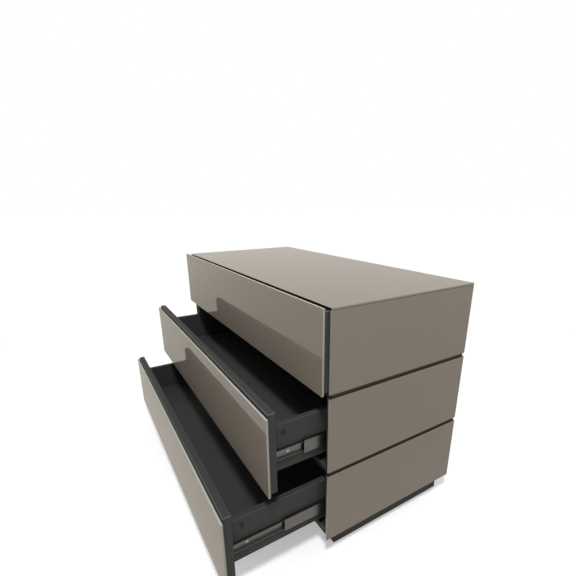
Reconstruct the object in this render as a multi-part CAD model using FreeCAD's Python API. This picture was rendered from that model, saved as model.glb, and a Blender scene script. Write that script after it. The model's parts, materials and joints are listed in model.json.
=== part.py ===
# Glass-clad chest of three drawers on a recessed plinth, in millimetres.
# X runs to the right along the front, Y to the back and Z up.
# The origin is on the floor, under the middle of the carcass.
# At rest the top drawer is closed and the two below it are pulled out.

import FreeCAD, Part
import os

from FreeCAD import Vector

# Whole chest
WIDTH = 1100.0
PANE_DEPTH = 510.0
PANE_HEIGHT = 219.0
GROOVE = 9.0
LOWER_GLASS_DROP = 2.0
PLINTH_HEIGHT = 65.0
DRAWER_COUNT = 3
PULLED_OUT = (0.0, 149.0, 270.0)

# Thicknesses of glass, boards and sheets
GLASS = 5.0
CARCASS_BOARD = 18.0
BOX_BOARD = 16.0
FRONT_BOARD = 20.0
CARRIER = 3.0
FLOOR_SHEET = 10.0
BACK_SHEET = 8.0

# Ground glass edges and eased board edges
GLASS_ARRIS = 0.6
BOARD_ARRIS = 1.0

# Carcass: its front edge lies behind the edge of the side glass
FRONT_RECESS = 9.0
GLASS_JOINT = 0.5
BACK_REBATE = 7.0
RAIL_DEPTH = 100.0

# Drawer fronts: the board passes between the side panes, the glass stands before them
FRONT_PROJECTION = 22.5
FRONT_BOTTOM = 217.0
TOP_GLASS_RISE = 2.0
CARRIER_INSET = 2.0
FRONT_BOARD_INSET = 7.5
FRONT_BOARD_LIFT = 3.0
TOP_BOARD_DROP = 7.5
LOWER_BOARD_RISE = 7.5

# Drawer boxes, with heights measured down from a level at the top of the drawer's module or just above it
BOX_LIFTS = (0.0, 0.0, 7.5)
RUNNER_SPACE = 13.0
BOX_LENGTH = 445.0
BOX_TOP = 50.0
BOX_HEIGHT = 130.0
FLOOR_TOP = 157.0
FLOOR_TONGUE = 6.0
FLOOR_PLAY = 0.2

# Runners: three nested channels on each side of a drawer
RUNNER_DROP = 130.0
RAIL_GAUGE = 1.4
CABINET_RAIL_LENGTH = 445.0
CABINET_RAIL_SETBACK = 4.0
CABINET_RAIL_WIDTH = 10.5
CABINET_RAIL_HALF_HEIGHT = 22.5
MIDDLE_RAIL_LENGTH = 430.0
MIDDLE_RAIL_SETBACK = 9.0
MIDDLE_RAIL_WIDTH = 8.4
MIDDLE_RAIL_HALF_HEIGHT = 18.0
MIDDLE_RAIL_OFFSET = 2.6
DRAWER_RAIL_LENGTH = 436.0
DRAWER_RAIL_SETBACK = 4.0
DRAWER_RAIL_WIDTH = 7.5
DRAWER_RAIL_HALF_HEIGHT = 13.5
RAIL_SCREW_SPOTS = (40.0, 220.0, 400.0)
RAIL_SCREW_HEAD_RADIUS = 4.5
RAIL_SCREW_HEAD = 0.8
RAIL_SCREW_RADIUS = 2.5
RAIL_SCREW_LENGTH = 11.0

# Touch release units behind the drawer sides: a closed front is pressed in to reach their noses
PRESS_TRAVEL = 2.0
RELEASE_SIZE = Vector(26.0, 34.0, 30.0)
RELEASE_NOSE_RADIUS = 4.0
RELEASE_NOSE_OFFSET = 5.0
RELEASE_REAR_GAP = 4.0
RELEASE_ARRIS = 1.0

# Cam fittings
CAM_RADIUS = 7.5
CAM_HEIGHT = 12.5
CAM_OFFSET = 34.0
CAM_SLOT_WIDTH = 1.6
CAM_SLOT_DEPTH = 1.5
BOLT_RADIUS = 3.5
THREAD_RADIUS = 2.5
THREAD_LENGTH = 11.0
FITTING_PLAY = 0.15
PANEL_CAM_SPOTS = (-180.0, 180.0)
RAIL_CAM_INSET = 25.0
BOX_CAM_DROPS = (23.0, 88.0)
PLINTH_CAM_SHARES = (-1 / 3, 1 / 3)

# Countersunk screws of the back sheet
BACK_SCREW_HEAD_RADIUS = 3.4
BACK_SCREW_HEAD = 2.2
BACK_SCREW_RADIUS = 1.5
BACK_SCREW_LENGTH = 24.0
CROSS_LENGTH = 3.6
CROSS_WIDTH = 0.8
CROSS_DEPTH = 1.2
BACK_SCREWS_ACROSS = 4
BACK_SCREWS_UP = 4

# Plinth and floor glides
PLINTH_FRONT_SETBACK = 45.0
PLINTH_SIDE_SETBACK = 25.0
PLINTH_BACK_SETBACK = 25.0
GLIDE_HEIGHT = 6.0
GLIDE_RADIUS = 8.0
GLIDE_ARRIS = 1.5
GLIDE_PIN_RADIUS = 2.0
GLIDE_PIN_LENGTH = 22.0
GLIDE_END_INSET = 34.0

# Places worked out from the sizes above
HALF_WIDTH = WIDTH / 2
PITCH = PANE_HEIGHT + GROOVE
HEIGHT = PLINTH_HEIGHT + DRAWER_COUNT * PITCH - GROOVE
PANE_FRONT = -PANE_DEPTH / 2
PANE_BACK = PANE_DEPTH / 2
CARCASS_FRONT = PANE_FRONT + FRONT_RECESS
CARCASS_TOP = HEIGHT - GLASS
SHEET_FRONT = PANE_BACK - BACK_SHEET
PANEL_OUT = HALF_WIDTH - GLASS
PANEL_IN = PANEL_OUT - CARCASS_BOARD
BOX_OUT = PANEL_IN - RUNNER_SPACE
BOX_IN = BOX_OUT - BOX_BOARD
GLASS_FACE = PANE_FRONT - FRONT_PROJECTION
CARRIER_FACE = GLASS_FACE + GLASS
BOARD_FACE = CARRIER_FACE + CARRIER
BOX_FRONT = BOARD_FACE + FRONT_BOARD
BOX_BACK = BOX_FRONT + BOX_LENGTH

RIGHT = Vector(1, 0, 0)
REAR = Vector(0, 1, 0)
UP = Vector(0, 0, 1)
SIDES = {"left": -1, "right": 1}


def top_of_module(number):
    """Height of the top of one drawer's module, counted from the top."""
    return HEIGHT - (number - 1) * PITCH


def box_level(number):
    """Level that the heights of one drawer's box and runners are measured down from."""
    return top_of_module(number) + BOX_LIFTS[number - 1]


def block(x, y, z):
    """Plain box between two places on each axis, in either order."""
    low = Vector(min(x), min(y), min(z))
    high = Vector(max(x), max(y), max(z))
    size = high - low
    return Part.makeBox(size.x, size.y, size.z, low)


def slab(x, y, z, arris):
    """Box with every edge eased by a small chamfer."""
    solid = block(x, y, z)
    return solid.makeChamfer(arris, solid.Edges)


def without(solid, tools):
    """The one solid that is left of a board when the tools are taken out of it."""
    return solid.cut(tools).Solids[0]


def rod(radius, length, start, way):
    """Round bar from a point along a direction."""
    return Part.makeCylinder(radius, length, start, way)


def between(low, high, count):
    """Evenly spaced places from low to high, both included."""
    return [low + (high - low) * step / (count - 1) for step in range(count)]


def cam_joint(corner, bolt_way, cam_way, thickness):
    """One cam and its bolt, with the hole in the cam's board and the hole in the bolt's board.

    The corner is the point where the bolt's axis leaves the end of the cam's board.
    The bolt runs on from there, and the cam is let in along its own way, from the face of its board.
    """
    cam_axis = corner - bolt_way * CAM_OFFSET
    cam_mouth = cam_axis - cam_way * (thickness / 2)
    cam = rod(CAM_RADIUS, CAM_HEIGHT, cam_mouth, cam_way)
    half_slot = bolt_way.cross(cam_way) * CAM_RADIUS + bolt_way * (CAM_SLOT_WIDTH / 2)
    slot_start = cam_mouth - half_slot
    slot_end = cam_mouth + half_slot + cam_way * CAM_SLOT_DEPTH
    cam = cam.cut(block(*zip(slot_start, slot_end)))
    shank_length = CAM_OFFSET - CAM_RADIUS - FITTING_PLAY
    shank = rod(BOLT_RADIUS, shank_length, corner - bolt_way * shank_length, bolt_way)
    bolt = shank.fuse(rod(THREAD_RADIUS, THREAD_LENGTH, corner, bolt_way))
    pocket = rod(CAM_RADIUS + FITTING_PLAY, CAM_HEIGHT + FITTING_PLAY, cam_mouth, cam_way)
    shank_hole = rod(BOLT_RADIUS + FITTING_PLAY, CAM_OFFSET, cam_axis, bolt_way)
    thread_hole = rod(THREAD_RADIUS + FITTING_PLAY, THREAD_LENGTH + FITTING_PLAY, corner, bolt_way)
    return [cam, bolt], pocket.fuse(shank_hole), thread_hole


def back_screw(x, z, play=0.0):
    """Countersunk screw from the back, its head flush with the back sheet."""
    start = Vector(x, PANE_BACK, z)
    head_radius = BACK_SCREW_HEAD_RADIUS + play
    shank_radius = BACK_SCREW_RADIUS + play
    head = Part.makeCone(head_radius, shank_radius, BACK_SCREW_HEAD, start, -REAR)
    shank_length = BACK_SCREW_LENGTH - BACK_SCREW_HEAD + play
    return head.fuse(rod(shank_radius, shank_length, start - REAR * BACK_SCREW_HEAD, -REAR))


def cross_recess(x, z):
    """Driver cross in the head of a back screw."""
    depth = (PANE_BACK - CROSS_DEPTH, PANE_BACK)
    arm = (-CROSS_LENGTH / 2, CROSS_LENGTH / 2)
    narrow = (-CROSS_WIDTH / 2, CROSS_WIDTH / 2)
    flat = block([x + a for a in arm], depth, [z + n for n in narrow])
    upright = block([x + n for n in narrow], depth, [z + a for a in arm])
    return flat.fuse(upright)


def back_screw_places():
    """Screws into both side panels, the top panel and the bottom panel."""
    side_x = PANEL_IN + BACK_REBATE / 2
    low = PLINTH_HEIGHT + CARCASS_BOARD / 2
    high = CARCASS_TOP - CARCASS_BOARD / 2
    rows = between(low + PITCH / 2, high - PITCH / 2, BACK_SCREWS_UP)
    columns = between(-PANEL_IN + PITCH / 2, PANEL_IN - PITCH / 2, BACK_SCREWS_ACROSS)
    at_sides = [(sign * side_x, z) for sign in SIDES.values() for z in rows]
    at_ends = [(x, z) for z in (low, high) for x in columns]
    return at_sides + at_ends


def channel(web_x, open_x, y, middle_z, half_height):
    """Runner rail: a channel with its web at one place across and its open side at another."""
    gauge = RAIL_GAUGE if open_x > web_x else -RAIL_GAUGE
    inner_height = half_height - RAIL_GAUGE
    outer = block((web_x, open_x), y, (middle_z - half_height, middle_z + half_height))
    inner = block((web_x + gauge, open_x), y, (middle_z - inner_height, middle_z + inner_height))
    return outer.cut(inner)


def rail_screw(web_face, way):
    """Flat-headed screw with its head on the web of a rail."""
    head = rod(RAIL_SCREW_HEAD_RADIUS, RAIL_SCREW_HEAD, web_face - way * RAIL_SCREW_HEAD, way)
    return head.fuse(rod(RAIL_SCREW_RADIUS, RAIL_SCREW_LENGTH, web_face, way))


def rail_screw_hole(web_face, way):
    """Hole for one rail screw through the web and into the board behind it."""
    return rod(RAIL_SCREW_RADIUS + FITTING_PLAY, RAIL_SCREW_LENGTH + FITTING_PLAY, web_face, way)


def cabinet_rail_screw_spots(sign, number):
    """Places of the screws that hold one cabinet rail, on the face of its web."""
    x = sign * (PANEL_IN - RAIL_GAUGE)
    start = CARCASS_FRONT + CABINET_RAIL_SETBACK
    z = box_level(number) - RUNNER_DROP
    return [Vector(x, start + spot, z) for spot in RAIL_SCREW_SPOTS]


def build_runners(number):
    """Cabinet rails and middle rails of one drawer, as pairs, with the drawer closed."""
    z = box_level(number) - RUNNER_DROP
    cabinet_start = CARCASS_FRONT + CABINET_RAIL_SETBACK
    middle_start = CARCASS_FRONT + MIDDLE_RAIL_SETBACK
    cabinet_y = (cabinet_start, cabinet_start + CABINET_RAIL_LENGTH)
    middle_y = (middle_start, middle_start + MIDDLE_RAIL_LENGTH)
    cabinet_rails = []
    middle_rails = []
    for sign in SIDES.values():
        web = PANEL_IN
        rail = channel(sign * web, sign * (web - CABINET_RAIL_WIDTH), cabinet_y, z, CABINET_RAIL_HALF_HEIGHT)
        holes = [rail_screw_hole(spot, RIGHT * sign) for spot in cabinet_rail_screw_spots(sign, number)]
        cabinet_rails.append(without(rail, holes))
        web = PANEL_IN - MIDDLE_RAIL_OFFSET
        rail = channel(sign * web, sign * (web - MIDDLE_RAIL_WIDTH), middle_y, z, MIDDLE_RAIL_HALF_HEIGHT)
        middle_rails.append(rail)
    return Part.makeCompound(cabinet_rails), Part.makeCompound(middle_rails)


def build_release_unit(sign, number):
    """Sealed touch release unit behind one drawer side, with its nose towards the drawer."""
    rear = SHEET_FRONT - RELEASE_REAR_GAP
    front = rear - RELEASE_SIZE.y
    nose_tip = BOX_BACK + PRESS_TRAVEL + FITTING_PLAY
    z = box_level(number) - RUNNER_DROP
    x_range = (sign * PANEL_IN, sign * (PANEL_IN - RELEASE_SIZE.x))
    z_range = (z - RELEASE_SIZE.z / 2, z + RELEASE_SIZE.z / 2)
    body = slab(x_range, (front, rear), z_range, RELEASE_ARRIS)
    nose_x = sign * (PANEL_IN - RELEASE_SIZE.x + RELEASE_NOSE_OFFSET)
    nose = rod(RELEASE_NOSE_RADIUS, front - nose_tip, Vector(nose_x, front, z), -REAR)
    return body.fuse(nose)


def plinth_rails():
    """Place across, place along and outward direction of each plinth rail."""
    half_rail = CARCASS_BOARD / 2
    outer_x = HALF_WIDTH - PLINTH_SIDE_SETBACK
    inner_x = outer_x - CARCASS_BOARD
    front = PANE_FRONT + PLINTH_FRONT_SETBACK
    back = PANE_BACK - PLINTH_BACK_SETBACK
    across = (-outer_x, outer_x)
    along = (front + CARCASS_BOARD, back - CARCASS_BOARD)
    return {
        "plinth_front": (across, (front, along[0]), -REAR),
        "plinth_back": (across, (along[1], back), REAR),
        "plinth_left": ((-outer_x, -inner_x), along, -RIGHT),
        "plinth_right": ((inner_x, outer_x), along, RIGHT),
        "plinth_centre": ((-half_rail, half_rail), along, RIGHT),
    }


def plinth_joints():
    """Cam fittings that hold the plinth rails up against the bottom panel.

    Each has the rail's name, the solids, the hole in the rail and the hole in the panel.
    """
    joints = []
    for name, (x, y, outward) in plinth_rails().items():
        middle = Vector(sum(x) / 2, sum(y) / 2, PLINTH_HEIGHT)
        size = Vector(x[1] - x[0], y[1] - y[0], 0)
        way = UP.cross(outward)
        for share in PLINTH_CAM_SHARES:
            corner = middle + way * (way.dot(size) * share)
            joints.append((name, *cam_joint(corner, UP, outward, CARCASS_BOARD)))
    return joints


def build_carcass():
    """Boards, back sheet, runner rails and fastenings that stay still."""
    panel_z = (PLINTH_HEIGHT, CARCASS_TOP)
    across = (-PANEL_IN, PANEL_IN)
    rebate_x = PANEL_IN + BACK_REBATE
    rail_back = CARCASS_FRONT + RAIL_DEPTH
    rail_cams = (CARCASS_FRONT + RAIL_CAM_INSET, rail_back - RAIL_CAM_INSET)

    # Level boards: middle height, back edge and the places of their cams
    shelves = {
        "top_panel": (CARCASS_TOP - CARCASS_BOARD / 2, SHEET_FRONT, PANEL_CAM_SPOTS),
        "bottom_panel": (PLINTH_HEIGHT + CARCASS_BOARD / 2, SHEET_FRONT, PANEL_CAM_SPOTS),
    }
    for number in range(1, DRAWER_COUNT):
        middle = top_of_module(number + 1) + GROOVE / 2
        shelves[f"divider_rail_{number}"] = (middle, rail_back, rail_cams)

    boards = {}
    for name, sign in SIDES.items():
        rebate = block((sign * PANEL_IN, sign * rebate_x), (SHEET_FRONT, PANE_BACK), panel_z)
        panel = slab((sign * PANEL_IN, sign * PANEL_OUT), (CARCASS_FRONT, PANE_BACK), panel_z, BOARD_ARRIS)
        boards[f"{name}_side_panel"] = without(panel, [rebate])
    for name, (middle, back, _) in shelves.items():
        board_z = (middle - CARCASS_BOARD / 2, middle + CARCASS_BOARD / 2)
        boards[name] = slab(across, (CARCASS_FRONT, back), board_z, BOARD_ARRIS)
    boards["back_sheet"] = slab((-rebate_x, rebate_x), (SHEET_FRONT, PANE_BACK), panel_z, BOARD_ARRIS)
    holes = {name: [] for name in boards}

    fittings = []
    for shelf, (middle, _, spots) in shelves.items():
        for name, sign in SIDES.items():
            for y in spots:
                corner = Vector(sign * PANEL_IN, y, middle)
                solids, cam_hole, bolt_hole = cam_joint(corner, RIGHT * sign, UP, CARCASS_BOARD)
                fittings += solids
                holes[shelf].append(cam_hole)
                holes[f"{name}_side_panel"].append(bolt_hole)
    for _, solids, _, bolt_hole in plinth_joints():
        fittings += solids
        holes["bottom_panel"].append(bolt_hole)

    back_screws = []
    for x, z in back_screw_places():
        back_screws.append(back_screw(x, z).cut(cross_recess(x, z)))
        for name in boards:
            holes[name].append(back_screw(x, z, FITTING_PLAY))

    nodes = {}
    rail_screws = []
    release_units = []
    for number in range(1, DRAWER_COUNT + 1):
        cabinet_rails, middle_rails = build_runners(number)
        middle_rails.translate(-REAR * (PULLED_OUT[number - 1] / 2))
        nodes[f"runner_{number}_cabinet_rails"] = cabinet_rails
        nodes[f"runner_{number}_middle_rails"] = middle_rails
        for name, sign in SIDES.items():
            release_units.append(build_release_unit(sign, number))
            for spot in cabinet_rail_screw_spots(sign, number):
                rail_screws.append(rail_screw(spot, RIGHT * sign))
                holes[f"{name}_side_panel"].append(rail_screw_hole(spot, RIGHT * sign))

    for name, board in boards.items():
        nodes[name] = without(board, holes[name])
    nodes["back_sheet_screws"] = Part.makeCompound(back_screws)
    nodes["carcass_cam_fittings"] = Part.makeCompound(fittings)
    nodes["cabinet_rail_screws"] = Part.makeCompound(rail_screws)
    nodes["touch_release_units"] = Part.makeCompound(release_units)
    return nodes


def build_cladding():
    """Glass on the top and, one pane for each drawer, on the sides."""
    pane_y = (PANE_FRONT, PANE_BACK)
    nodes = {"top_glass": slab((-HALF_WIDTH, HALF_WIDTH), pane_y, (CARCASS_TOP, HEIGHT), GLASS_ARRIS)}
    for number in range(1, DRAWER_COUNT + 1):
        bottom = top_of_module(number) - PANE_HEIGHT
        top = top_of_module(number) - LOWER_GLASS_DROP
        if number == 1:
            top = CARCASS_TOP - GLASS_JOINT
        for name, sign in SIDES.items():
            pane = slab((sign * PANEL_OUT, sign * HALF_WIDTH), pane_y, (bottom, top), GLASS_ARRIS)
            nodes[f"{name}_side_glass_{number}"] = pane
    return nodes


def build_plinth():
    """Five rails under the carcass, and the glides that they stand on."""
    rails = plinth_rails()
    rail_z = (GLIDE_HEIGHT, PLINTH_HEIGHT)
    holes = {name: [] for name in rails}
    for name, _, cam_hole, _ in plinth_joints():
        holes[name].append(cam_hole)

    glide_x = HALF_WIDTH - PLINTH_SIDE_SETBACK - GLIDE_END_INSET
    glide_spots = [("plinth_centre", 0.0, 0.0)]
    for name in ("plinth_front", "plinth_back"):
        rail_y = sum(rails[name][1]) / 2
        glide_spots += [(name, -glide_x, rail_y), (name, glide_x, rail_y)]
    glides = []
    for name, x, y in glide_spots:
        foot = rod(GLIDE_RADIUS, GLIDE_HEIGHT, Vector(x, y, 0), UP)
        bottom_rim = foot.Edges[2]
        foot = foot.makeChamfer(GLIDE_ARRIS, [bottom_rim])
        pin_start = Vector(x, y, GLIDE_HEIGHT)
        glides.append(foot.fuse(rod(GLIDE_PIN_RADIUS, GLIDE_PIN_LENGTH, pin_start, UP)))
        hole_radius = GLIDE_PIN_RADIUS + FITTING_PLAY
        holes[name].append(rod(hole_radius, GLIDE_PIN_LENGTH + FITTING_PLAY, pin_start, UP))

    nodes = {name: without(slab(x, y, rail_z, BOARD_ARRIS), holes[name]) for name, (x, y, _) in rails.items()}
    nodes["floor_glides"] = Part.makeCompound(glides)
    return nodes


def build_drawer(number):
    """One drawer with its front, box, runner rails and fastenings, pulled out as it rests."""
    module_top = top_of_module(number)
    glass_bottom = module_top - FRONT_BOTTOM
    glass_top = module_top - LOWER_GLASS_DROP
    board_top = glass_top + LOWER_BOARD_RISE
    if number == 1:
        glass_top = module_top + TOP_GLASS_RISE
        board_top = module_top - TOP_BOARD_DROP
    carrier_x = HALF_WIDTH - CARRIER_INSET
    carrier_z = (glass_bottom + CARRIER_INSET, glass_top - CARRIER_INSET)
    board_x = HALF_WIDTH - FRONT_BOARD_INSET
    board_z = (glass_bottom + FRONT_BOARD_LIFT, board_top)
    glass_x = (-HALF_WIDTH, HALF_WIDTH)
    glass = slab(glass_x, (GLASS_FACE, CARRIER_FACE), (glass_bottom, glass_top), GLASS_ARRIS)
    carrier = block((-carrier_x, carrier_x), (CARRIER_FACE, BOARD_FACE), carrier_z)
    front = slab((-board_x, board_x), (BOARD_FACE, BOX_FRONT), board_z, BOARD_ARRIS)

    level = box_level(number)
    box_top = level - BOX_TOP
    box_z = (box_top - BOX_HEIGHT, box_top)
    floor_z = (level - FLOOR_TOP - FLOOR_SHEET, level - FLOOR_TOP)
    back_y = (BOX_BACK - BOX_BOARD, BOX_BACK)
    floor_x = BOX_IN + FLOOR_TONGUE
    floor_y = (BOX_FRONT - FLOOR_TONGUE, back_y[0] + FLOOR_TONGUE)
    groove = block(
        (-floor_x - FLOOR_PLAY, floor_x + FLOOR_PLAY),
        (floor_y[0] - FLOOR_PLAY, floor_y[1] + FLOOR_PLAY),
        (floor_z[0] - FLOOR_PLAY, floor_z[1] + FLOOR_PLAY),
    )
    rail_start = BOX_FRONT + DRAWER_RAIL_SETBACK
    rail_y = (rail_start, rail_start + DRAWER_RAIL_LENGTH)
    rail_z = level - RUNNER_DROP

    sides = {}
    rails = []
    screws = []
    fittings = []
    front_holes = [groove]
    back_holes = [groove]
    for name, sign in SIDES.items():
        side_holes = [groove]
        for drop in BOX_CAM_DROPS:
            front_corner = Vector(sign * (BOX_IN + BOX_BOARD / 2), BOX_FRONT, box_top - drop)
            solids, cam_hole, bolt_hole = cam_joint(front_corner, -REAR, -RIGHT * sign, BOX_BOARD)
            fittings += solids
            side_holes.append(cam_hole)
            front_holes.append(bolt_hole)
            back_corner = Vector(sign * BOX_IN, BOX_BACK - BOX_BOARD / 2, box_top - drop)
            solids, cam_hole, bolt_hole = cam_joint(back_corner, RIGHT * sign, -REAR, BOX_BOARD)
            fittings += solids
            back_holes.append(cam_hole)
            side_holes.append(bolt_hole)
        rail_open = sign * (BOX_OUT + DRAWER_RAIL_WIDTH)
        rail = channel(sign * BOX_OUT, rail_open, rail_y, rail_z, DRAWER_RAIL_HALF_HEIGHT)
        rail_holes = []
        for spot in RAIL_SCREW_SPOTS:
            web_face = Vector(sign * (BOX_OUT + RAIL_GAUGE), rail_start + spot, rail_z)
            screws.append(rail_screw(web_face, -RIGHT * sign))
            rail_holes.append(rail_screw_hole(web_face, -RIGHT * sign))
        rails.append(without(rail, rail_holes))
        side = slab((sign * BOX_IN, sign * BOX_OUT), (BOX_FRONT, BOX_BACK), box_z, BOARD_ARRIS)
        sides[name] = without(side, side_holes + rail_holes)
    back = slab((-BOX_IN, BOX_IN), back_y, box_z, BOARD_ARRIS)

    pieces = {
        "front_glass": glass,
        "front_carrier": carrier,
        "front_board": without(front, front_holes),
        "left_side": sides["left"],
        "right_side": sides["right"],
        "back": without(back, back_holes),
        "floor": block((-floor_x, floor_x), floor_y, floor_z),
        "runner_rails": Part.makeCompound(rails),
        "rail_screws": Part.makeCompound(screws),
        "cam_fittings": Part.makeCompound(fittings),
    }
    for shape in pieces.values():
        shape.translate(-REAR * PULLED_OUT[number - 1])
    return {f"drawer_{number}_{name}": shape for name, shape in pieces.items()}


def main():
    nodes = {}
    nodes.update(build_carcass())
    nodes.update(build_cladding())
    nodes.update(build_plinth())
    for number in range(1, DRAWER_COUNT + 1):
        nodes.update(build_drawer(number))
    os.makedirs("parts", exist_ok=True)
    for name, shape in nodes.items():
        shape.exportStep(f"parts/{name}.step")
    print(f"{len(nodes)} nodes, {WIDTH:g} x {PANE_BACK - GLASS_FACE:g} x {HEIGHT:g} mm closed")


main()
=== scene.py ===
# Looks of a glass-clad chest of three drawers, in metres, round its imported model.
# The glass panes are modelled here; the boards, runners and fittings keep their own solids.

import json
import math

import bmesh
import bpy
from mathutils import Matrix, Vector

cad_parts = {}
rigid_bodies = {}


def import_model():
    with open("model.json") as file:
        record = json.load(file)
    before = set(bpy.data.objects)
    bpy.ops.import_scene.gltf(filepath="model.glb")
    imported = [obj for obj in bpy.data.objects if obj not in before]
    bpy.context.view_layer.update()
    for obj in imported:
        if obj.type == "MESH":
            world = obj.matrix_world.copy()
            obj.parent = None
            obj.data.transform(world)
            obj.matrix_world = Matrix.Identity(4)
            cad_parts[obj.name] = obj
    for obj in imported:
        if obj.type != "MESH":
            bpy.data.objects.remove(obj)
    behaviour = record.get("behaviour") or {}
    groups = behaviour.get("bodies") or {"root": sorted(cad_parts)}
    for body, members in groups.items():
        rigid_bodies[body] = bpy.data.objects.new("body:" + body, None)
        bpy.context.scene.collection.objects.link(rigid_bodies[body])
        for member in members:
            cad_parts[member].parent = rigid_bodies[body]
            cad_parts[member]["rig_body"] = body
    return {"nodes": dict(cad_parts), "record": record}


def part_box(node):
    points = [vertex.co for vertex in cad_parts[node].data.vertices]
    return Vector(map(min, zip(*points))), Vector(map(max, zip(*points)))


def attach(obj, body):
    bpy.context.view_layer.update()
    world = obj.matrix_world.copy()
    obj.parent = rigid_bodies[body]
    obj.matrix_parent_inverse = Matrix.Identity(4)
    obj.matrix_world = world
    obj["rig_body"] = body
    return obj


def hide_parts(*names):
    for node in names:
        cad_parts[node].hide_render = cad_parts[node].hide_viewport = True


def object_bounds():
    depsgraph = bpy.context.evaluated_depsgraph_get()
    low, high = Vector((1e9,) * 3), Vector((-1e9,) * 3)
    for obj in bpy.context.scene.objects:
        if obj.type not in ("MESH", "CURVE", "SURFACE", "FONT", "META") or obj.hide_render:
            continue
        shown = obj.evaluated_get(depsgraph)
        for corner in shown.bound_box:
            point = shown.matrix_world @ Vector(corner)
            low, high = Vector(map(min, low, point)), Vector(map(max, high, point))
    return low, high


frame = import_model()
cad_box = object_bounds()

DRAWERS = (1, 2, 3)
SIDES = ("left", "right")
ACROSS, ALONG, UPWARD = range(3)
CHEST_MIDDLE = (cad_box[0] + cad_box[1]) / 2

# Camera: place, turn and optics, with the optical centre in pixels of the square image
CAMERA_PLACE = Vector((1.1950, -0.7277, 0.9644))
CAMERA_HEADING = math.radians(58.43)
CAMERA_TILT = math.radians(71.36)
CAMERA_ROLL = math.radians(-0.23)
IMAGE_PIXELS = 576
FOCAL_PIXELS = 372.37
OPTICAL_CENTRE = (302.4, 327.4)
SENSOR = 36.0

# Studio
DAYLIGHT = 0.28
FLOOR_REACH = 80.0

# Floor that is seen: between two distances from the chest its paint gives way to a plain white glow
SEEN_FADE = (1.0, 2.4)
SEEN_GLOW = (0.36, 1.005)

# Floor that is mirrored: distances from the chest and the levels of its glow there, lower near the chest
# as a painted shade in the reflections
MIRRORED_FADE = (1.0, 5.0)
MIRRORED_GLOW = (0.72, 1.06)

# Softboxes: place, point that each faces, edge length and power
SOFTBOXES = {
    "key_softbox": (Vector((1.5, -0.92, 2.9)), Vector((0.0, -0.3, 0.45)), 0.4, 64.0),
    "right_softbox": (Vector((3.6, -0.1, 1.1)), Vector((0.55, 0.0, 0.45)), 2.0, 18.0),
    "left_softbox": (Vector((-3.6, -0.1, 1.1)), Vector((-0.55, 0.0, 0.45)), 2.0, 50.0),
    "front_softbox": (Vector((0.2, -3.8, 1.1)), Vector((0.0, -0.3, 0.4)), 2.0, 33.0),
    "back_softbox": (Vector((0.2, 3.8, 1.1)), Vector((0.0, 0.3, 0.4)), 2.0, 50.0),
}

# Glass panes
CORNER_RADIUS = 0.0012
CORNER_STEPS = 4
ARRIS = 0.0004
ARRIS_STEPS = 2
ROUND_PROFILE = 0.5
SMOOTH_ANGLE = math.radians(40)
GLASS_IOR = 1.5
FACE_SLOT, BACK_SLOT, FIRST_EDGE_SLOT = range(3)

# A direction lies along an axis when at least this share of it does
ALIGNED = 0.99

# Upper eased edges of boards, where a highlight is painted: how far from square to the axes, and how far
# upward, their slant has to be
EASED_SQUARENESS = 0.75
EASED_RISE = 0.5

# Places of the colours among the sockets of a Mix node
MIX_FIRST, MIX_SECOND, MIX_RESULT = 6, 7, 2


def srgb(red, green, blue):
    """Linear colour with full alpha, from the usual 0 to 255 numbers."""
    linear = []
    for part in (red, green, blue):
        share = part / 255
        linear.append(share / 12.92 if share <= 0.04045 else ((share + 0.055) / 1.055) ** 2.4)
    return (*linear, 1.0)


TAUPE = srgb(118, 110, 100)
PAINT_BACK = srgb(176, 173, 166)
# Upward edges of the front panes: the pale edge of the glass with a painted highlight of the light from
# above
PAINTED_HIGHLIGHT_EDGE = srgb(168, 166, 159)
PALE_EDGE = srgb(140, 138, 131)
TAUPE_EDGE = srgb(124, 116, 106)
# Upward edges of the side panes: painted shade of the grooves between the panes
GROOVE_SHADE_EDGE = srgb(46, 42, 37)
SHADED_EDGE = srgb(18, 16, 14)
ANTHRACITE = srgb(56, 57, 59)
FLANK_BROWN = srgb(70, 67, 61)
DRAWER_GREY = srgb(57, 57, 57)
# Drawer floors: the drawer grey made lighter as painted light falling from above
DRAWER_FLOOR_GREY_WITH_PAINTED_LIGHT = srgb(61, 61, 61)
# Upper eased edges of boards: the board greys made paler as a painted highlight
EASED_HIGHLIGHT_GREY = srgb(100, 99, 97)
EASED_DRAWER_HIGHLIGHT_GREY = srgb(72, 72, 71)
FIBRE_GREY = srgb(50, 49, 48)
CARRIER_GREY = srgb(48, 47, 45)
STEEL = srgb(129, 129, 131)
ZINC = srgb(182, 183, 184)
BLACK_PLATING = srgb(68, 68, 68)
SCREW_STEEL = srgb(188, 188, 186)
GLIDE_BLACK = srgb(34, 34, 35)
RELEASE_GREY = srgb(112, 113, 116)
FLOOR_PAINT = srgb(228, 224, 217)
FLOOR_WHITE = srgb(228, 228, 228)
WALL_TONE = srgb(236, 230, 219)
DAYLIGHT_GREY = (DAYLIGHT, DAYLIGHT, DAYLIGHT, 1.0)
PLAIN_WHITE = (1.0, 1.0, 1.0, 1.0)
PLAIN_BLACK = (0.0, 0.0, 0.0, 1.0)


class Value:
    """A shader number that takes Python arithmetic, with a Math node for each step."""

    def __init__(self, recipe, socket):
        self.recipe = recipe
        self.socket = socket

    def step(self, operation, first, second):
        return self.recipe.node("ShaderNodeMath", {"operation": operation}, {0: first, 1: second})

    def __add__(self, other):
        return self.step("ADD", self, other)

    __radd__ = __add__

    def __sub__(self, other):
        return self.step("SUBTRACT", self, other)

    def __rsub__(self, other):
        return self.step("SUBTRACT", other, self)

    def __mul__(self, other):
        return self.step("MULTIPLY", self, other)

    __rmul__ = __mul__


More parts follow.
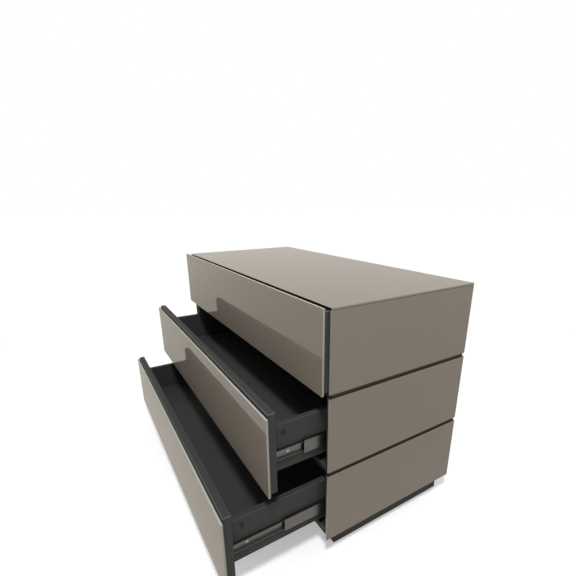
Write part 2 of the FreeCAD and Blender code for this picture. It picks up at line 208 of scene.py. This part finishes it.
class Recipe:
    """Nodes of one material or of the world."""

    def __init__(self, owner):
        owner.use_nodes = True
        self.owner = owner
        self.tree = owner.node_tree
        self.tree.nodes.clear()

    def node(self, kind, settings=None, inputs=None, output=0):
        """One node with its settings and sockets, given back as the value of one output."""
        made = self.tree.nodes.new(kind)
        for name, setting in (settings or {}).items():
            setattr(made, name, setting)
        for name, given in (inputs or {}).items():
            if isinstance(given, Value):
                self.tree.links.new(given.socket, made.inputs[name])
            else:
                made.inputs[name].default_value = given
        return Value(self, made.outputs[output])

    def place(self, stretch=(1.0, 1.0, 1.0)):
        """Place on the object in metres, stretched to draw a pattern out along an axis."""
        raw = self.node("ShaderNodeTexCoord", output="Object")
        return self.node("ShaderNodeMapping", None, {"Vector": raw, "Scale": stretch})

    def noise(self, place, per_metre, detail=2.0, roughness=0.5):
        """Noise around zero, with so many blotches to the metre."""
        inputs = {"Vector": place, "Scale": per_metre, "Detail": detail, "Roughness": roughness}
        return self.node("ShaderNodeTexNoise", None, inputs) - 0.5

    def ray(self, *kinds):
        """One for rays of these kinds, and zero for all others."""
        either = [self.node("ShaderNodeLightPath", output=f"Is {kind} Ray") for kind in kinds]
        return self.node("ShaderNodeMath", {"operation": "MINIMUM"}, {0: sum(either), 1: 1.0})

    def fade(self, number, span, levels=(0.0, 1.0)):
        """A level that goes from the first to the second while a number crosses a span."""
        start, end = span
        first, last = levels
        reach = {"Value": number, "From Min": start, "From Max": end, "To Min": first, "To Max": last}
        return self.node("ShaderNodeMapRange", None, reach)

    def mix(self, share, first, second):
        """The first colour, giving way to the second as the share goes to one."""
        sockets = {"Factor": share, MIX_FIRST: first, MIX_SECOND: second}
        return self.node("ShaderNodeMix", {"data_type": "RGBA"}, sockets, output=MIX_RESULT)

    def shade(self, colour, tone):
        """A colour made lighter or darker by a shader number."""
        if not isinstance(colour, Value):
            colour = colour[:3]
        return self.node("ShaderNodeVectorMath", {"operation": "SCALE"}, {0: colour, "Scale": tone})

    def length(self, vector):
        """Length of a shader vector."""
        return self.node("ShaderNodeVectorMath", {"operation": "LENGTH"}, {0: vector}, output="Value")

    def along(self, axis, vector):
        """Part of a shader vector that lies along X, Y or Z."""
        return self.node("ShaderNodeSeparateXYZ", None, {"Vector": vector}, output=axis)

    def highlighted_upper_edges(self):
        """One on upper edges that are eased at a slant, where a highlight is painted, and zero on faces
        square to an axis.
        """
        normal = self.node("ShaderNodeTexCoord", output="Normal")
        squares = self.node("ShaderNodeVectorMath", {"operation": "MULTIPLY"}, {0: normal, 1: normal})
        slanting = self.fade(self.length(squares), (1.0, EASED_SQUARENESS))
        rising = self.fade(self.along("Z", normal), (0.0, EASED_RISE))
        return slanting * rising

    def flanks(self):
        """One on faces to the left and right, and zero on faces along the other axes."""
        across = self.along("X", self.node("ShaderNodeTexCoord", output="Normal"))
        return across * across

    def bump(self, height, depth):
        """Normal of a relief whose height runs over about one unit, and its depth in metres."""
        return self.node("ShaderNodeBump", None, {"Height": height, "Distance": depth, "Strength": 1.0})

    def surface(self, **sockets):
        """The finished surface, with socket names written with underscores."""
        inputs = {name.replace("_", " "): given for name, given in sockets.items()}
        self.end(self.node("ShaderNodeBsdfPrincipled", None, inputs))
        return self.owner

    def end(self, shader):
        """Joins the last shader to the output of the material or the world."""
        is_world = isinstance(self.owner, bpy.types.World)
        output = self.tree.nodes.new("ShaderNodeOutputWorld" if is_world else "ShaderNodeOutputMaterial")
        self.tree.links.new(shader.socket, output.inputs["Surface"])


def new_recipe(name):
    return Recipe(bpy.data.materials.new(name))


def back_painted_glass():
    """Float glass painted on the back: an even coat under deep gloss, with faint wave and wiping marks."""
    glass = new_recipe("back_painted_glass")
    place = glass.place()
    cloud = glass.noise(place, per_metre=2.5)
    grain = glass.noise(place, per_metre=1400.0, detail=1.0)
    wiping = glass.noise(glass.place(stretch=(1.0, 1.0, 0.35)), per_metre=14.0, detail=5.0, roughness=0.6)
    wave = glass.noise(place, per_metre=6.0, detail=1.0)
    return glass.surface(
        Base_Color=glass.shade(TAUPE, 1.0 + cloud * 0.05 + grain * 0.04),
        Roughness=0.014 + wiping * 0.014,
        IOR=GLASS_IOR,
        Normal=glass.bump(wave, depth=0.00012),
    )


def paint_back():
    """Back of the paint on a pane, pale and matt, with the stipple of its roller."""
    coat = new_recipe("paint_back")
    stipple = coat.noise(coat.place(), per_metre=500.0, detail=3.0)
    return coat.surface(
        Base_Color=coat.shade(PAINT_BACK, 1.0 + stipple * 0.1),
        Roughness=0.6 + stipple * 0.15,
        Normal=coat.bump(stipple, depth=0.00003),
    )


def polished_edge(name, colour):
    """Polished edge of a pane, with the last fine grit marks of its grinding."""
    edge = new_recipe(name)
    place = edge.place()
    grit = edge.noise(place, per_metre=2600.0)
    drag = edge.noise(place, per_metre=140.0, detail=3.0)
    return edge.surface(
        Base_Color=edge.shade(colour, 1.0 + grit * 0.12 + drag * 0.1),
        Roughness=0.12 + grit * 0.08,
        IOR=GLASS_IOR,
        Normal=edge.bump(grit, depth=0.00001),
    )


def laminate(name, colour, highlight_colour, flank_colour=None):
    """Dark melamine laminate with a fine pearl grain, a faint handling bloom and a painted highlight on
    its upper eased edges.

    The left and right faces of a board can have a colour of their own.
    """
    board = new_recipe(name)
    place = board.place()
    pearl = board.noise(place, per_metre=900.0, detail=3.0, roughness=0.6)
    fleck = board.noise(place, per_metre=2200.0, detail=1.0)
    bloom = board.noise(place, per_metre=5.0, detail=3.0)
    tone = 1.0 + pearl * 0.16 + fleck * 0.1 + bloom * 0.08
    face = board.shade(colour, tone)
    if flank_colour:
        face = board.mix(board.flanks(), face, board.shade(flank_colour, tone))
    return board.surface(
        # The upper eased edges get a painted highlight
        Base_Color=board.mix(board.highlighted_upper_edges(), face, board.shade(highlight_colour, tone)),
        Roughness=0.62 + pearl * 0.16 + bloom * 0.08,
        Specular_IOR_Level=0.16,
        Normal=board.bump(pearl, depth=0.00004),
    )


def painted_fibreboard():
    """Painted fibreboard of the back sheet, with short felted fibres under the coat."""
    sheet = new_recipe("painted_fibreboard")
    fibre = sheet.noise(sheet.place(stretch=(1.0, 1.0, 0.45)), per_metre=420.0, detail=4.0, roughness=0.65)
    mottle = sheet.noise(sheet.place(), per_metre=18.0, detail=3.0)
    return sheet.surface(
        Base_Color=sheet.shade(FIBRE_GREY, 1.0 + fibre * 0.22 + mottle * 0.16),
        Roughness=0.66 + fibre * 0.2,
        Normal=sheet.bump(fibre, depth=0.00009),
    )


def powder_coat():
    """Powder coat of the carrier sheet, with its fine orange peel."""
    coat = new_recipe("powder_coat")
    peel = coat.noise(coat.place(), per_metre=650.0)
    return coat.surface(
        Base_Color=coat.shade(CARRIER_GREY, 1.0 + peel * 0.15),
        Roughness=0.42 + peel * 0.15,
        Normal=coat.bump(peel, depth=0.00005),
    )


def rolled_steel():
    """Dark zinc-plated rolled steel, with drawing lines along the runner and cloudy passivation."""
    steel = new_recipe("rolled_steel")
    lines = steel.noise(steel.place(stretch=(1.0, 0.02, 1.0)), per_metre=1500.0, detail=3.0)
    cloud = steel.noise(steel.place(), per_metre=45.0, detail=3.0)
    return steel.surface(
        Base_Color=steel.shade(STEEL, 1.0 + lines * 0.14 + cloud * 0.12),
        Metallic=1.0,
        Roughness=0.34 + lines * 0.12 + cloud * 0.1,
        Normal=steel.bump(lines, depth=0.00002),
    )


def cast_zinc(name, colour):
    """Zinc casting of the cams, a little frosted."""
    zinc = new_recipe(name)
    frost = zinc.noise(zinc.place(), per_metre=700.0, detail=3.0)
    return zinc.surface(
        Base_Color=zinc.shade(colour, 1.0 + frost * 0.2),
        Metallic=1.0,
        Roughness=0.45 + frost * 0.2,
        Normal=zinc.bump(frost, depth=0.00003),
    )


def plated_screws():
    """Zinc-plated screw steel, with the fine unevenness of its plating."""
    screw = new_recipe("plated_screws")
    plating = screw.noise(screw.place(), per_metre=1900.0)
    return screw.surface(
        Base_Color=screw.shade(SCREW_STEEL, 1.0 + plating * 0.2),
        Metallic=1.0,
        Roughness=0.3 + plating * 0.2,
    )


def moulded_plastic(name, colour):
    """Moulded plastic with the spark texture of its tool."""
    plastic = new_recipe(name)
    spark = plastic.noise(plastic.place(), per_metre=1100.0)
    return plastic.surface(
        Base_Color=plastic.shade(colour, 1.0 + spark * 0.12),
        Roughness=0.52 + spark * 0.16,
        Normal=plastic.bump(spark, depth=0.00003),
    )


def studio_floor_paint():
    """Pale floor that is seen and mirrored white where nothing shades it, with a painted shade near the
    chest in what it mirrors.
    """
    floor = new_recipe("studio_floor")
    place = floor.place()
    speck = floor.noise(place, per_metre=60.0, detail=3.0)
    away = floor.length(place)
    camera = floor.ray("Camera")
    mirrored = floor.ray("Glossy", "Transmission")
    seen = floor.mix(floor.fade(away, SEEN_FADE), FLOOR_WHITE, PLAIN_BLACK)
    paint = floor.mix(mirrored, floor.mix(camera, FLOOR_PAINT, seen), PLAIN_BLACK)
    light = floor.mix(camera, WALL_TONE, PLAIN_WHITE)
    seen_glow = floor.fade(away, SEEN_FADE, SEEN_GLOW)
    # Glow that is mirrored, lower near the chest as a painted shade
    mirrored_glow = floor.fade(away, MIRRORED_FADE, MIRRORED_GLOW)
    return floor.surface(
        Base_Color=floor.shade(paint, 1.0 + speck * 0.01),
        Roughness=0.9,
        Specular_IOR_Level=0.0,
        Emission_Color=floor.shade(light, camera * seen_glow + mirrored * mirrored_glow),
        Emission_Strength=1.0,
    )


def start_block(name, low, high):
    """A block between two corners, alone in the selection, with its place in its mesh."""
    bpy.ops.object.select_all(action="DESELECT")
    bpy.ops.mesh.primitive_cube_add(size=1.0, location=(low + high) / 2)
    piece = bpy.context.object
    piece.name = name
    piece.data.name = name
    piece.scale = high - low
    bpy.ops.object.transform_apply(location=True, rotation=True, scale=True)
    return piece


def bevel_where(piece, wanted, width, steps):
    """Rounds the edges that pass a test."""
    bpy.ops.object.mode_set(mode="EDIT")
    bpy.ops.mesh.select_mode(type="EDGE")
    bpy.ops.mesh.select_all(action="DESELECT")
    shape = bmesh.from_edit_mesh(piece.data)
    for edge in shape.edges:
        edge.select_set(wanted(edge))
    bmesh.update_edit_mesh(piece.data)
    bpy.ops.mesh.bevel(offset=width, segments=steps, profile=ROUND_PROFILE, affect="EDGES")
    bpy.ops.object.mode_set(mode="OBJECT")


def make_pane(node, face_paint, back_paint, edge_paints):
    """One glass pane in the place of its solid, with rounded corners and an arris round both faces.

    The back is the face turned to the middle of the chest.
    The paints of the edges are given by the axis that each edge faces along.
    """
    low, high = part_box(node)
    size = high - low
    thin = min(range(3), key=lambda axis: size[axis])
    pane = start_block(f"{node}_pane", low, high)

    def lies_through(way):
        return abs(way[thin]) > ALIGNED

    def through(edge):
        return lies_through((edge.verts[1].co - edge.verts[0].co).normalized())

    def around_a_face(edge):
        beside_a_face = [lies_through(face.normal) for face in edge.link_faces]
        return any(beside_a_face) and not all(beside_a_face)

    bevel_where(pane, through, CORNER_RADIUS, CORNER_STEPS)
    bevel_where(pane, around_a_face, ARRIS, ARRIS_STEPS)
    bpy.ops.object.shade_smooth_by_angle(angle=SMOOTH_ANGLE)
    for paint in (face_paint, back_paint, *edge_paints.values()):
        pane.data.materials.append(paint)
    edge_axes = list(edge_paints)
    for face in pane.data.polygons:
        is_flat = lies_through(face.normal)
        is_back = face.normal.dot(CHEST_MIDDLE - face.center) > 0
        if is_flat:
            face.material_index = BACK_SLOT if is_back else FACE_SLOT
        else:
            faced = max(edge_axes, key=lambda axis: abs(face.normal[axis]))
            face.material_index = FIRST_EDGE_SLOT + edge_axes.index(faced)
        face.use_smooth = not is_flat
    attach(pane, frame["nodes"][node]["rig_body"])
    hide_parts(node)


def dress_nodes():
    """Every solid that stays gets the finish of its slot in the record."""
    finishes = {
        "anthracite_board": laminate("anthracite_laminate", ANTHRACITE, EASED_HIGHLIGHT_GREY),
        "drawer_board": laminate("drawer_laminate", DRAWER_GREY, EASED_DRAWER_HIGHLIGHT_GREY),
        # The drawer floors are a lighter copy of the drawer laminate, with painted light from above
        "drawer_floor": laminate("drawer_floor_laminate_with_painted_light", DRAWER_FLOOR_GREY_WITH_PAINTED_LIGHT, EASED_DRAWER_HIGHLIGHT_GREY),
        "back_sheet": painted_fibreboard(),
        "carrier_sheet": powder_coat(),
        "runner_steel": rolled_steel(),
        "fitting_zinc": cast_zinc("bare_zinc_cams", ZINC),
        "fitting_black": cast_zinc("black_plated_cams", BLACK_PLATING),
        "screw_steel": plated_screws(),
        "glide_plastic": moulded_plastic("glide_plastic", GLIDE_BLACK),
        "release_plastic": moulded_plastic("release_plastic", RELEASE_GREY),
    }
    side_panel = laminate("side_panel_laminate", ANTHRACITE, EASED_HIGHLIGHT_GREY, FLANK_BROWN)
    for subpart in frame["record"]["subparts"]:
        node = subpart["node"]
        finish = finishes.get(subpart["material_slot"])
        if node.endswith("_side_panel"):
            finish = side_panel
        if finish:
            materials = frame["nodes"][node].data.materials
            materials.clear()
            materials.append(finish)


def glaze():
    """All the panes: top, sides and drawer fronts."""
    paint = back_painted_glass()
    back = paint_back()
    highlight_edge = polished_edge("painted_highlight_pane_edge", PAINTED_HIGHLIGHT_EDGE)
    pale = polished_edge("pale_pane_edge", PALE_EDGE)
    taupe = polished_edge("taupe_pane_edge", TAUPE_EDGE)
    groove_shade = polished_edge("groove_shade_pane_edge", GROOVE_SHADE_EDGE)
    shaded = polished_edge("shaded_pane_edge", SHADED_EDGE)
    make_pane("top_glass", paint, back, {ACROSS: taupe, ALONG: shaded})
    for number in DRAWERS:
        # The upward edges of the front panes carry a painted highlight
        make_pane(f"drawer_{number}_front_glass", paint, back, {ACROSS: pale, UPWARD: highlight_edge})
        for side in SIDES:
            # The upward edges of the side panes carry the painted shade of the grooves
            make_pane(f"{side}_side_glass_{number}", paint, back, {ALONG: pale, UPWARD: groove_shade})


def build_studio():
    """Pale floor, white surround and softboxes above and on all four sides."""
    bpy.ops.object.select_all(action="DESELECT")
    bpy.ops.mesh.primitive_plane_add(size=FLOOR_REACH)
    floor = bpy.context.object
    floor.name = "studio_floor"
    floor.data.materials.append(studio_floor_paint())

    world = bpy.data.worlds.new("studio_surround")
    bpy.context.scene.world = world
    surround = Recipe(world)
    mirrored = surround.mix(surround.ray("Glossy", "Transmission"), DAYLIGHT_GREY, WALL_TONE)
    seen = surround.mix(surround.ray("Camera"), mirrored, PLAIN_WHITE)
    surround.end(surround.node("ShaderNodeBackground", None, {"Color": seen}))

    for name, (place, aim, size, power) in SOFTBOXES.items():
        softbox = bpy.data.lights.new(name, "AREA")
        softbox.size = size
        softbox.energy = power
        lamp = bpy.data.objects.new(name, softbox)
        lamp.location = place
        lamp.rotation_euler = (aim - place).to_track_quat("-Z", "Y").to_euler()
        lamp.visible_glossy = False
        bpy.context.scene.collection.objects.link(lamp)


def set_camera():
    """Camera at the photograph's place, with its optical centre off the middle of the image."""
    optics = bpy.data.cameras.new("camera")
    optics.sensor_width = SENSOR
    optics.lens = FOCAL_PIXELS / IMAGE_PIXELS * SENSOR
    optics.shift_x = 0.5 - OPTICAL_CENTRE[0] / IMAGE_PIXELS
    optics.shift_y = OPTICAL_CENTRE[1] / IMAGE_PIXELS - 0.5
    camera = bpy.data.objects.new("camera", optics)
    turn = Matrix.Rotation(CAMERA_HEADING, 4, "Z") @ Matrix.Rotation(CAMERA_TILT, 4, "X")
    camera.matrix_world = Matrix.Translation(CAMERA_PLACE) @ turn @ Matrix.Rotation(CAMERA_ROLL, 4, "Z")
    bpy.context.scene.collection.objects.link(camera)
    bpy.context.scene.camera = camera


bpy.context.scene.view_settings.view_transform = "Standard"
set_camera()
build_studio()
dress_nodes()
glaze()
